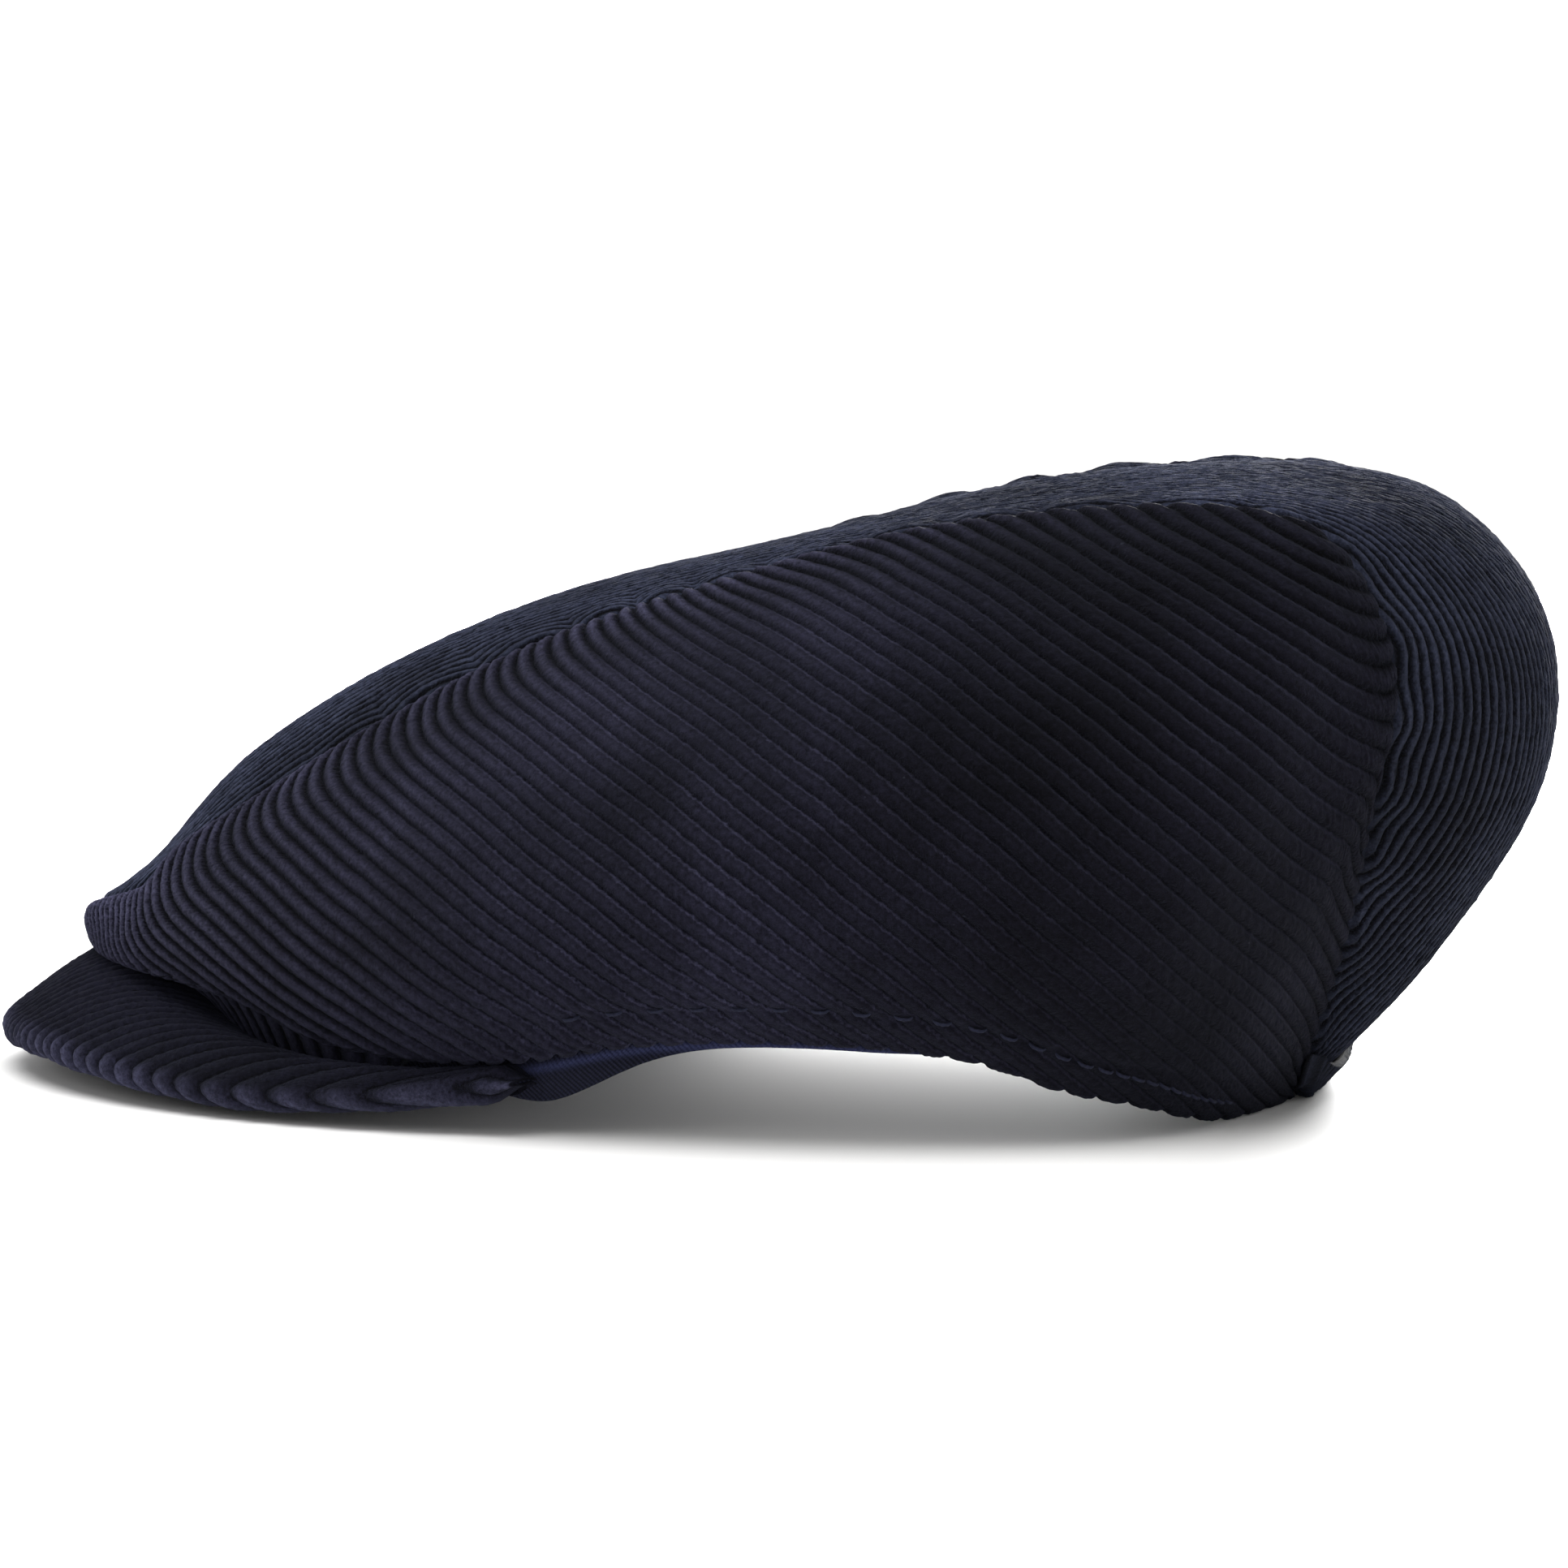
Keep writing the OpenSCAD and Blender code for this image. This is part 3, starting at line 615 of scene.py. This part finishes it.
# ---------------------------------------------------------------- side panels
def side_panels():
    mu, nt = 600, 272
    us = even([lambda s, q=q: side_p(s, 0 * s + q) for q in (0.0, 0.35, 0.7, 1.0)], 0.0, 1.0, mu)
    ts = even([lambda s, q=q: side_p(0 * s + q, s) for q in (0.35, 0.5, 0.65)], 0.0, 1.0, nt)
    roll = 1.5
    coarse = side_p(*np.meshgrid(us, np.linspace(0, 1, 40), indexing="ij"))
    span = np.linalg.norm(np.diff(coarse, axis=1), axis=-1).sum(1)
    hi = 1 - roll / np.maximum(span, 5)
    t = ts[None, :] * hi[:, None]
    u = np.repeat(us[:, None], nt + 1, 1)
    p = side_p(u, t)
    nrm = grid_normals(p, False)
    depth = arcs(p, 1)
    to_hem = depth[:, -1:] - depth
    table = side_phase()
    ph = v_at(table, us)
    phase = np.stack([v_at(ph[i], t[i]) for i in range(len(us))])
    # turned hem
    k = us * LAST
    edge_t = unit(p[:, -1] - p[:, -4])
    tuck = v_at(TUCK, us * LAST / 6)
    target = visor_p(tuck, 0 * tuck + 0.05) + (COVER_OUT + 0.2) * visor_n(tuck, 0 * tuck + 0.05)
    front = 1 - ease(k, 5.3, 6.3)
    more, more_n = turn_under(p[:, -1], nrm[:, -1], edge_t, roll, 8.0, 12, 20, target, front)
    base = np.concatenate([p, more], 1)
    nn = np.concatenate([nrm, more_n], 1)
    extra = more.shape[1]
    tucked = np.where(front[:, None] > 0.5, more[..., 0] / PITCH_VISOR + 0.5, phase[:, -1:])
    phase = np.concatenate([phase, tucked], 1)
    depth = np.concatenate([depth, depth[:, -1:] + np.arange(1, extra + 1) * 0.4], 1)
    to_hem = np.concatenate([to_hem, np.zeros((len(us), extra))], 1)
    y, z = base[..., 1], base[..., 2]
    phase = phase + 0.05 * np.sin(y / 9 + z / 13) + 0.04 * np.sin(y / 5.1 - z / 7.3 + 1)
    flat = ease(y, -80, 0) * ease(depth, 8, 30)
    h, x = wale(phase, 2.4 + 1.6 * flat)
    amp = 0.95 - 0.22 * flat + 0.1 * np.sin(y / 21 + z / 17) + 0.2 * np.exp(-depth / 14) * (1 - ease(y, 60, 95))
    amp = amp * (0.78 + 0.22 * ease(to_hem, 0, 14)) + 0.3 * np.exp(-to_hem / 2.5)
    amp = amp + 1.2 * np.exp(-((to_hem - 2.5) / 3.5) ** 2) * np.exp(-((y + 27) / 17) ** 2)
    tip = ease(depth - 1.4 * x ** 2, 0.2, 2.4)
    d = h * amp * tip
    d = d - 2.4 * np.exp(-(depth / 1.15) ** 2)
    d = d + 0.9 * np.exp(-((depth - 4.2) / 3) ** 2) * (1 - ease(k, 9, 12))[:, None]
    soft = ease(depth, 6, 26) * ease(to_hem, 3, 26)
    swell = 0.5 * np.sin(y / 19 + z / 37 + 0.8) * np.sin(z / 15 - y / 41) + 0.25 * np.sin(y / 11 - z / 19 + 2)
    d = d + soft * swell
    inside = np.zeros(base.shape[1], bool)
    inside[nt + 13:] = True
    d = np.where(inside[None], h * (0.25 + 0.4 * front[:, None]), d - 0.4) + pile(d.shape, 1)
    d = d - 0.45 * np.exp(-((to_hem - 8) / 1.3) ** 2) * ease(k, 6, 7)[:, None] * ~inside
    sewn = (1 - ease(depth, 0, 1.6)) * ease(k, 1.9, 2.3)[:, None]
    d = d * (1 - sewn) - SEAM_DEPTH * sewn
    lean = np.exp(-(depth / 2.2) ** 2)[..., None] * ease(k, 1.7, 2.2)[:, None, None]
    nn = unit(nn * (1 - lean) + seam_n(us)[:, None] * lean)
    outer = base + d[..., None] * nn
    inner = base + (np.minimum(d, 0) - BACKING)[..., None] * nn
    # painted highlight: crests lighter near the top seam (less towards the rear) and at the front; painted light and
    # shade: lighter near the top seam, darker towards the rear; lit marks the rear area of thin painted sheen lines
    crest_highlight = 0.22 + 1.3 * np.exp(-depth / 12) * (1 - 0.8 * ease(y, 50, 90)) + 0.3 * (1 - ease(y, -95, -30))
    look = {"phase": phase, "tip": tip, "crest_highlight": np.clip(crest_highlight, 0, 1.5),
            "lit": ease(y, -75, -10) * ease(depth, 10, 30),
            "painted_shading": 1 + 0.55 * np.exp(-depth / 9) * (1 - ease(y, 40, 80)) - 0.62 * ease(y, 5, 75)}
    for name, mirror in (("left", False), ("right", True)):
        ob = shell(f"{name}_side_cloth", outer, inner, 4, False, look, mirror)
        finish_piece(ob, f"{name}_side_panel", "corduroy_side")


# ---------------------------------------------------------------- centre panel
def centre_panel():
    mu, nt = 420, 288
    us = even([lambda s, q=q: centre_p(s, 0 * s + q) for q in (0.0, 0.25, 0.499)], 0.0, 1.0, mu)
    us[-1] = 0.996
    tt = np.linspace(0, 1, nt + 1)
    u, t = np.meshgrid(us, tt, indexing="ij")
    # even spacing across
    half = even([lambda s, q=q: centre_p(0 * s + q, s) for q in (0.2, 0.5, 0.8)], 0.0, 0.5, nt // 2)
    t = np.repeat(np.concatenate([half, 1 - half[-2::-1]])[None], mu + 1, 0)
    p = centre_p(u, t)
    nrm = grid_normals(p, True)
    across = arcs(p, 1)
    c = across - across[:, nt // 2:nt // 2 + 1]
    d_seam = np.minimum(across, across[:, -1:] - across)
    along = arcs(p, 0)[:, nt // 2][:, None] + 0 * c
    more, more_n = turn_under(p[-1], nrm[-1], unit(p[-1] - p[-4]), 1.4, 8.0, 10, 14)
    base = np.concatenate([p, more.transpose(1, 0, 2)], 0)
    nn = np.concatenate([nrm, more_n.transpose(1, 0, 2)], 0)
    extra = more.shape[1]
    grow = lambda a: np.concatenate([a, np.repeat(a[-1:], extra, 0)], 0)
    c, d_seam, u = grow(c), grow(d_seam), grow(u)
    along = np.concatenate([along, along[-1:] + np.arange(1, extra + 1)[:, None] * 0.5], 0)
    side = np.sign(c)
    s = along + 4 * side
    warp = s + 3.2 * np.sin(s / 23 + 0.4) + 1.8 * np.sin(s / 11 + 1.1)
    top = ease(u, 0.16, 0.26) * (1 - ease(u, 0.60, 0.68))
    rear = ease(u, 0.66, 0.72) * (1 - ease(u, 0.95, 1.0))
    top = top * (1 - 0.5 * ease(u, 0.5, 0.6))
    lobe = np.abs(np.sin(np.pi * warp / 17)) ** 0.8 - 0.45
    wave = np.sin(2 * np.pi * (s + 4 * np.sin(s / 17)) / 19.0)
    phase = c / PITCH_CENTRE + 0.07 * np.sin(along / 13 + c / 9)
    phase = phase + side * (1.35 * top * lobe * np.exp(-d_seam / 12) + 0.2 * rear * wave * np.exp(-d_seam / 11))
    h, x = wale(phase)
    amp = 0.95 + 0.1 * np.sin(along / 31) - 0.38 * (1 - ease(u, 0.58, 0.7))
    tip = ease(d_seam, 0.3, 2.6) * ease(along, 0.2, 3.0)
    d = h * amp * tip - 2.2 * np.exp(-(d_seam / 1.5) ** 2) - 2.0 * np.exp(-(along / 1.6) ** 2)
    near = np.where(side > 0, 1.0, 0.45)
    d = d + (near * top * 2.6 * lobe + rear * 0.5 * wave) * np.exp(-((d_seam - 3) / 7) ** 2) * ease(d_seam, 0, 4)
    d = d + ease(d_seam, 6, 20) * 0.5 * np.sin(along / 19) * np.sin(c / 15 + along / 47)
    inside = np.arange(base.shape[0]) > mu + 10
    d = np.where(inside[:, None], 0.2 * h, d - 0.4) + pile(d.shape, 2)
    sewn = 1 - ease(d_seam, 0, 1.8)
    d = d * (1 - sewn) - SEAM_DEPTH * sewn
    both = seam_n(FIRST / LAST + u[:, 0] * (1 - FIRST / LAST))[:, None] * np.ones(3)
    both = np.where(side[..., None] > 0, -1, 1) * np.array([1, 0, 0]) * both + both * np.array([0, 1, 1])
    lean = np.exp(-(d_seam / 2.2) ** 2)[..., None]
    nn = unit(nn * (1 - lean) + both * lean)
    outer = base + d[..., None] * nn
    inner = base + (np.minimum(d, 0) - BACKING)[..., None] * nn
    # painted shade: the rear of the panel darker; the crests lightened evenly by painted highlight
    look = {"phase": phase, "tip": tip, "crest_highlight": 0.95 + 0 * x, "lit": 0.05 + 0 * x,
            "painted_shading": 1.12 - 0.5 * ease(u, 0.62, 0.78)}
    ob = shell("centre_cloth", outer, inner, 4, False, look)
    finish_piece(ob, "centre_panel", "corduroy_centre")


# ---------------------------------------------------------------- visor
def visor():
    ma, nv, nr = 680, 88, 28
    a1 = even([lambda s: visor_p(s, 0 * s + 1.0)], -88, 88, ma)
    v1 = np.linspace(0.02, 0.94, nv + 1)
    a, v = np.meshgrid(a1, v1, indexing="ij")
    n = visor_n(a, v)
    pinch = 1 - 0.8 * ease(np.abs(a1), 85.5, 88)
    p = visor_p(a, v) + COVER_OUT * pinch[:, None, None] * n
    g = np.linspace(0, np.pi, nr + 1)[1:]
    e = visor_p(a1, 0 * a1 + 0.94)
    o = unit(e - visor_p(a1, 0 * a1 + 0.90))
    ne = visor_n(a1, 0 * a1 + 0.94)
    r = EDGE_ROLL + CORD_T
    rn = unit(ne[:, None] * np.cos(g)[None, :, None] * r + o[:, None] * np.sin(g)[None, :, None] * COVER_OUT)
    roll = e[:, None] + COVER_OUT * pinch[:, None, None] * np.cos(g)[None, :, None] * ne[:, None] \
        + r * np.sin(g)[None, :, None] * o[:, None]
    base = np.concatenate([p, roll], 1)
    nn = np.concatenate([n, rn], 1)
    s = np.concatenate([np.zeros(nv + 1), np.sin(g)])[None]
    phase = base[..., 0] / PITCH_VISOR + 0.5 + 0.05 * np.sin(base[..., 1] / 9)
    h, x = wale(phase, 2.0)
    amp = 0.72 + s * (0.75 + 0.2 * np.sin(base[..., 0] / 1.9))
    inner_edge = ease(v1, 0.02, 0.06)
    d = h * amp
    d[:, :nv + 1] *= inner_edge[None]
    inner = base - (1.3 * pinch)[:, None, None] * nn
    outer = base + ((d - 0.25 + pile(d.shape, 3)) * pinch[:, None])[..., None] * nn
    # painted highlight and shade: the edge roll lighter, the flat top darker
    look = {"phase": phase, "tip": 1 + 0 * x, "crest_highlight": 0.05 + 1.0 * s + 0 * x, "lit": 0.2 + 0 * x,
            "painted_shading": 0.72 + 1.05 * s + 0 * x}
    ob = shell("visor_top_cloth", outer, inner, 4, False, look)
    finish_piece(ob, "visor_top_cover", "corduroy_visor")

    ma, nv = 480, 80
    a1 = even([lambda s: visor_p(s, 0 * s + 0.9)], -88, 88, ma)
    a, v = np.meshgrid(a1, np.linspace(0.03, 0.9, nv + 1), indexing="ij")
    n = visor_n(a, v)
    pinch = 1 - 0.9 * ease(np.abs(a), 85.5, 88)[..., None]
    base = visor_p(a, v) - (COVER_OUT - 0.45) * pinch * n
    phase = base[..., 0] / PITCH_VISOR + 0.5 + 0.05 * np.sin(base[..., 1] / 9)
    h, x = wale(phase, 2.0)
    edge = ease(v, 0.03, 0.06) * (1 - ease(v, 0.87, 0.9))
    # painted highlight on the crests, even over the under cover
    ob = shell("visor_under_cloth", base - (0.55 * h * edge)[..., None] * n, base + 1.1 * pinch * n, 4, False,
               {"phase": phase, "tip": edge, "crest_highlight": 0.35 + 0 * x, "lit": 0.3 + 0 * x, "painted_shading": 1 + 0 * x})
    finish_piece(ob, "visor_under_cover", "corduroy_visor")

    # moulded board with rounded edges, and its ends rounded off inside the cloth
    a, v = np.meshgrid(np.linspace(-84, 84, 201), np.linspace(0.03, 0.93, 41), indexing="ij")
    n = visor_n(a, v)
    thin = np.sqrt(np.clip(1 - np.clip((np.abs(v - 0.48) - 0.42) / 0.035, 0, 1) ** 2, 0.12, 1))
    thin = thin * np.sqrt(np.clip(1 - np.clip((np.abs(a) - 82.6) / 1.5, 0, 1) ** 2, 0.12, 1))
    mid = visor_p(a, v)
    half = (BOARD_T / 2 * thin)[..., None] * n
    ob = shell("visor_board_moulded", mid + half, mid - half, 2)
    finish_piece(ob, "visor_board", "visor_board")

    a = np.linspace(-66, 66, 31)
    q = 0 * a + 0.84
    n = visor_n(a, q)
    mid = (visor_p(a, q) + visor_p(a + 1, q)) / 2 - (COVER_OUT + 0.35) * n
    way = unit(visor_p(a + 1, q) - visor_p(a, q))
    ob = threads("visor_edge_threads", list(zip(mid, way, -n)), STITCH_R, 3.6, 0.2)
    finish_piece(ob, "visor_edge_stitches", "navy_thread")


# ---------------------------------------------------------------- band and its stitches
def ring_at(w, inset, z):
    p = ring_p(w) - np.asarray(inset)[..., None] * ring_n(w)
    p[..., 2] += z
    return p


def sweatband():
    m, n = 720, 60
    w1 = np.arange(m) / m
    s1 = np.linspace(0, 1, n + 1)
    w, s = np.meshgrid(w1, s1, indexing="ij")
    y = ring_p(w)[..., 1] - MID_Y
    high = BAND_FRONT + (BAND_H - BAND_FRONT) * (0.5 + 0.5 * np.cos(2 * np.pi * w))
    bump = np.exp(-((y + 27) / 18) ** 2) * ease(np.abs(ring_p(w)[..., 0]), 55, 70)
    peek = 1.7 * (1 - ease(y, 30, 55)) * ease(y, -42, -25)
    low = 0.6 - 6.0 * bump - peek
    z = low + (high - low) * s
    sag = np.exp(-((z + 1.5) / 5) ** 2)
    inset = BAND_INSET - 2.1 * bump * sag + 0.25 * np.sin(w * 2 * np.pi * 19) * (1 - s)
    outer = ring_at(w, inset, z)
    inner = ring_at(w, inset + 0.9, z)
    edge = np.exp(-((z + 0.9) / 0.75) ** 2) + np.exp(-((s - 1) / 0.03) ** 2)
    ob = shell("sweatband_tape", outer, inner, 4, True, {"selvage": np.clip(edge, 0, 1)})
    finish_piece(ob, "sweatband", "twill_tape")

    w, s = np.meshgrid(np.linspace(-4, 4, 33) / 300, np.linspace(0, 1, 41), indexing="ij")
    z = 2 + (BAND_H - 3.5) * s
    bow = 0.12 * np.sin(np.pi * s)
    outer = ring_at(w, BAND_INSET + BAND_T + 0.95 + bow, z)
    inner = ring_at(w, BAND_INSET + BAND_T + 0.15 + bow, z)
    edge = np.clip(np.exp(-((np.abs(w) * 75 - 1) / 0.08) ** 2), 0, 1)
    ob = shell("sweatband_join_tape", outer, inner, 4, False, {"selvage": edge})
    finish_piece(ob, "sweatband_join", "twill_tape")

    w = np.linspace(0.1, 0.9, 41)
    off = BAND_INSET + BAND_T + 0.1
    a, b = ring_at(w, off + 0 * w, 2.4), ring_at(w + 0.004, off + 0 * w, 2.4)
    ob = threads("band_threads", list(zip((a + b) / 2, unit(b - a), -ring_n(w))), STITCH_R, 3.6, 0.25)
    finish_piece(ob, "band_stitches", "navy_thread")


# ---------------------------------------------------------------- inner layers
def side_layer(name, node, slot, u0, u1, t0, t1, depth, thick, m, n, ripple, sheet, mirror):
    u1d = np.linspace(u0, u1, m + 1)
    span = np.linalg.norm(side_p(u1d, 0 * u1d + 1) - side_p(u1d, 0 * u1d), axis=-1)
    lo, hi = t0 / np.maximum(span, 4), 1 - t1 / np.maximum(span, 4)
    t = lo[:, None] + (hi - lo)[:, None] * np.linspace(0, 1, n + 1)[None]
    u = np.repeat(u1d[:, None], n + 1, 1)
    p = side_p(u, t)
    nrm = grid_normals(p, False)
    r = ripple * (np.sin(p[..., 1] / 7 + p[..., 2] / 11) * np.sin(p[..., 2] / 9 - p[..., 1] / 23))
    outer, inner = p - (depth + r)[..., None] * nrm, p - (depth + thick + r)[..., None] * nrm
    ob = shell(name, outer, inner, 2, False, None, mirror)
    sheet = dict(sheet, area=cut(p))
    finish_piece(ob, node, slot)


def centre_layer(name, node, slot, u0, u1, edge, depth, thick, m, n, ripple, sheet):
    u1d = np.linspace(u0, u1, m + 1)
    lo = edge / (2.2 * v_at(SEAM, FIRST / LAST + u1d * (1 - FIRST / LAST))[:, 0])
    t = lo[:, None] + (1 - 2 * lo)[:, None] * np.linspace(0, 1, n + 1)[None]
    u = np.repeat(u1d[:, None], n + 1, 1)
    p = centre_p(u, t)
    nrm = grid_normals(p, True)
    r = ripple * np.sin(p[..., 1] / 8 + p[..., 2] / 9) * np.sin(p[..., 0] / 7)
    ob = shell(name, p - (depth + r)[..., None] * nrm, p - (depth + thick + r)[..., None] * nrm, 2)
    sheet = dict(sheet, area=cut(p))
    finish_piece(ob, node, slot)


def linings():
    centre_layer("interlining_centre_felt", "interlining_centre", "interlining", 0.06, 0.94, 4.5, D_INTER + 0.02, 0.85,
                 180, 80, 0.03, dict(flat=(0.12, 0.35), held="stretched"))
    centre_layer("lining_centre_satin", "lining_centre", "satin_lining", 0.07, 0.95, 3.2, D_LINING + 0.05, 0.4,
                 220, 100, 0.05, dict(flat=(0.12, 0.35), held="stretched"))
    for name, mirror in (("left", False), ("right", True)):
        side_layer(f"interlining_{name}_felt", f"interlining_{name}", "interlining", 0.24, 0.9, 4.5, 12, D_INTER + 0.02,
                   0.85, 160, 80, 0.03, dict(flat=(0.15, 0.21), held="stretched"), mirror)
        side_layer(f"lining_{name}_satin", f"lining_{name}", "satin_lining", 0.25, 0.89, 3.2, 6, D_LINING + 0.05,
                   0.4, 180, 100, 0.05, dict(flat=(0.16, 0.21), held="stretched"), mirror)


# ---------------------------------------------------------------- labels
def labels():
    du, dt = 24 / 2 / 290, 52 / 2 / 190
    u, t = np.meshgrid(np.linspace(0.56 - du, 0.56 + du, 41), np.linspace(0.5 - dt, 0.5 + dt, 81), indexing="ij")
    p = centre_p(u, t)
    nrm = grid_normals(p, True)
    eu, et = np.abs(u - 0.56) / du, np.abs(t - 0.5) / dt
    lift = 0.18 * np.sin(np.pi * np.clip(1 - et, 0, 1)) + 0.1 * np.sin(t * 300) * eu
    edge = np.clip(np.exp(-((eu - 0.88) / 0.05) ** 2) + np.exp(-((et - 0.94) / 0.025) ** 2), 0, 1)
    deep = D_LABEL + 0.1 + lift * 0.4
    ob = shell("woven_label_cloth", p - (deep + 0.4)[..., None] * nrm, p - deep[..., None] * nrm, 4, False,
               {"selvage": edge})
    finish_piece(ob, "woven_label", "woven_label")
    for node, w0, wide, tall, drop in (("size_tag", 0.055, 12, 15, 6), ("care_label", 0.255, 22, 34, 6)):
        w = np.array([w0])
        o = ring_at(w, np.array([BAND_INSET + BAND_T + 0.15]), drop)[0]
        nrm = ring_n(w)[0]
        tan = np.array([-nrm[1], nrm[0], 0.0])
        x, s = np.meshgrid(np.linspace(-wide / 2, wide / 2, 25), np.linspace(0, 1, 41), indexing="ij")
        # hangs from its sewn lower edge, with a slight curl
        curl = 0.15 + 0.9 * s ** 2 + 0.25 * np.sin(s * 5 + x / wide * 2) * s
        base = o + x[..., None] * tan + (s * tall)[..., None] * np.array([0, 0, 1.0]) - curl[..., None] * nrm
        edge = np.clip(np.exp(-((np.abs(x) / (wide / 2) - 0.93) / 0.05) ** 2), 0, 1)
        ob = shell(f"{node}_cloth", base - 0.4 * nrm, base, 4, False, {"selvage": edge})
        finish_piece(ob, node, "tag_tape")


# ---------------------------------------------------------------- threads on the crown
def crown_threads():
    items = []
    u = np.linspace(0.44, 0.86, 27)
    l = np.linalg.norm(side_p(u, 0 * u + 1) - side_p(u, 0 * u), axis=-1)
    t = 1 - 8 / l
    p, q = side_p(u, t), side_p(u + 0.004, t)
    e = 0.004
    du = side_p(u + e, t) - side_p(u - e, t)
    dt = side_p(u, t + 0.01) - side_p(u, t - 0.01)
    nrm = unit(np.cross(dt, du))
    for sx in (1, -1):
        f = np.array([sx, 1, 1])
        for a, b, n in zip(p, q, nrm):
            items.append(((a + b) / 2 * f + 0.1 * n * f, unit((b - a) * f), n * f))
    ob = threads("hem_threads", items, STITCH_R, 3.4, 0.35)
    finish_piece(ob, "hem_stitches", "blue_thread")
    items = []
    for i in range(5):
        for sx in (1, -1):
            u = 0.025 + 0.04 * i
            pts = []
            for uu in (u, u + 0.01):
                k = v_at(TUCK, np.array([uu * LAST / 6]))
                uu = np.array([uu])
                e = 0.004
                t = np.array([0.97])
                a0 = side_p(uu, t)
                across, onward = side_p(uu, t + 0.01) - side_p(uu, t - 0.01), side_p(uu + e, t) - side_p(uu - e, t)
                n0 = unit(np.cross(across, onward))
                a0 = a0 - 2.6 * n0
                b0 = visor_p(k, np.array([0.07])) + (COVER_OUT + 0.3) * visor_n(k, np.array([0.07]))
                pts.append((a0 * 0.4 + b0 * 0.6)[0] + np.array([0, 0, CORD_T + 0.8]))
            a, b = pts
            f = np.array([sx, 1, 1])
            items.append(((a + b) / 2 * f, unit((b - a) * f), np.array([0, 0, 1.0])))
    ob = threads("visor_tack_threads", items, STITCH_R, 3.4, 0.3)
    finish_piece(ob, "visor_tacks", "navy_thread")


side_panels()
centre_panel()
visor()
sweatband()
linings()
labels()
crown_threads()

# ---------------------------------------------------------------- floor, light
me = bpy.data.meshes.new("floor")
me.from_pydata([(-25, -25, 0), (25, -25, 0), (25, 25, 0), (-25, 25, 0)], [], [(0, 1, 2, 3)])
floor = bpy.data.objects.new("floor", me)
bpy.context.scene.collection.objects.link(floor)
fm = Mat("floor")
fc = fm.mix(fm.remap(fm.noise(3, 2, 0.5), 0.3, 0.7, 0, 1), (0.84, 0.835, 0.825), (0.86, 0.855, 0.85))
floor.data.materials.append(fm.done(fc, 0.7, 0, 0.4, (1, 1, 1), 0.2))


def area(name, loc, aim, size, power, color=(1, 1, 1)):
    d = bpy.data.lights.new(name, "AREA")
    d.shape = "SQUARE"
    d.size = size
    d.energy = power
    d.color = color
    o = bpy.data.objects.new(name, d)
    o.location = loc
    o.rotation_euler = (Vector(loc) - Vector(aim)).to_track_quat("Z", "Y").to_euler()
    bpy.context.scene.collection.objects.link(o)
    return o


sun_data = bpy.data.lights.new("overhead", "SUN")
sun_data.energy = 3.1
sun_data.angle = math.radians(50)
sun = bpy.data.objects.new("overhead", sun_data)
sun.rotation_euler = Vector((0.30, -0.06, 1.0)).to_track_quat("Z", "Y").to_euler()
bpy.context.scene.collection.objects.link(sun)
area("front_soft", (1.3, -1.1, 0.9), (0, 0, 0.05), 0.7, 4)
area("far_low", (-1.0, 0.1, 0.15), (0, 0, 0.0), 0.4, 52)
area("near_low", (1.3, 0.5, 0.12), (0, 0, 0.0), 0.4, 2)

world = bpy.data.worlds.new("world")
bpy.context.scene.world = world
world.use_nodes = True
bg = world.node_tree.nodes["Background"]
bg.inputs[0].default_value = (1, 1, 1, 1)
bg.inputs[1].default_value = 0.5
bpy.context.scene.view_settings.view_transform = "Standard"
bpy.context.scene.view_settings.look = "None"
